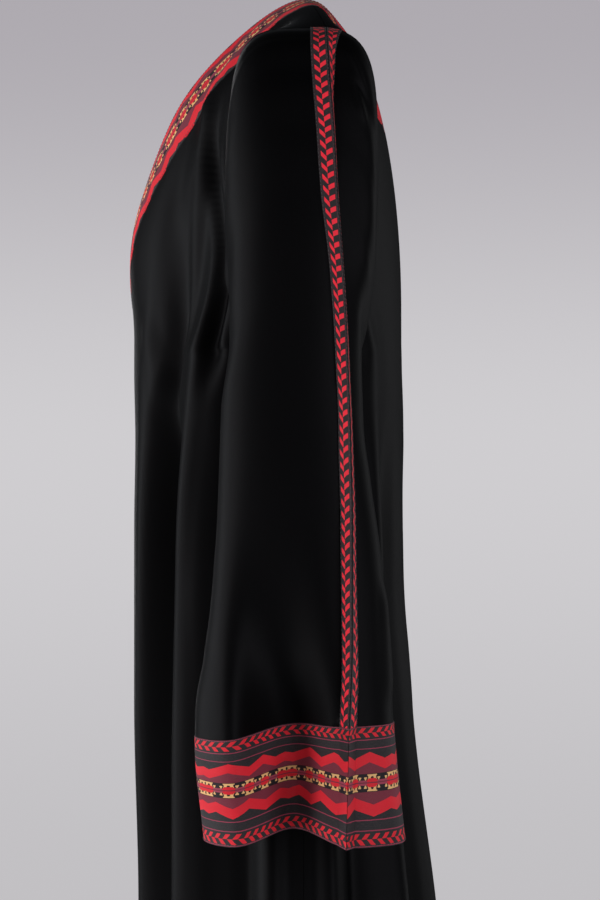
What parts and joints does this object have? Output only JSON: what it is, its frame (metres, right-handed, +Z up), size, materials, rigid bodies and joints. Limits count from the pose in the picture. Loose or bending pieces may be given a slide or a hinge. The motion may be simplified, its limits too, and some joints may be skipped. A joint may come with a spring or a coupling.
{
  "type": "abaya",
  "caption": "Long closed A-line overdress with a V neck, patterned neck band, wide sleeves trimmed down the outer seam and deep patterned cuffs, hanging as worn.",
  "frame": {"origin": "in the neck opening, level with the high points of the shoulders, where the wearer carries the garment", "axes": "+Z up, from hem to neck; the front faces -Y; the wearer's left sleeve is on +X"},
  "size_m": [0.6518, 0.3277, 1.4268],
  "materials": {
    "black_crepe": "matte crepe",
    "red_print": "matte printed cloth"
  },
  "bodies": {
    "root": {"front": "black_crepe", "back": "black_crepe", "sleeve_front_left": "black_crepe", "sleeve_back_left": "black_crepe", "sleeve_front_right": "black_crepe", "sleeve_back_right": "black_crepe", "neck_band_left": "red_print", "neck_band_right": "red_print", "cuff_front_left": "red_print", "cuff_back_left": "red_print", "cuff_front_right": "red_print", "cuff_back_right": "red_print", "trim_front_left": "red_print", "trim_back_left": "red_print", "trim_front_right": "red_print", "trim_back_right": "red_print"}
  },
  "joints": []
}
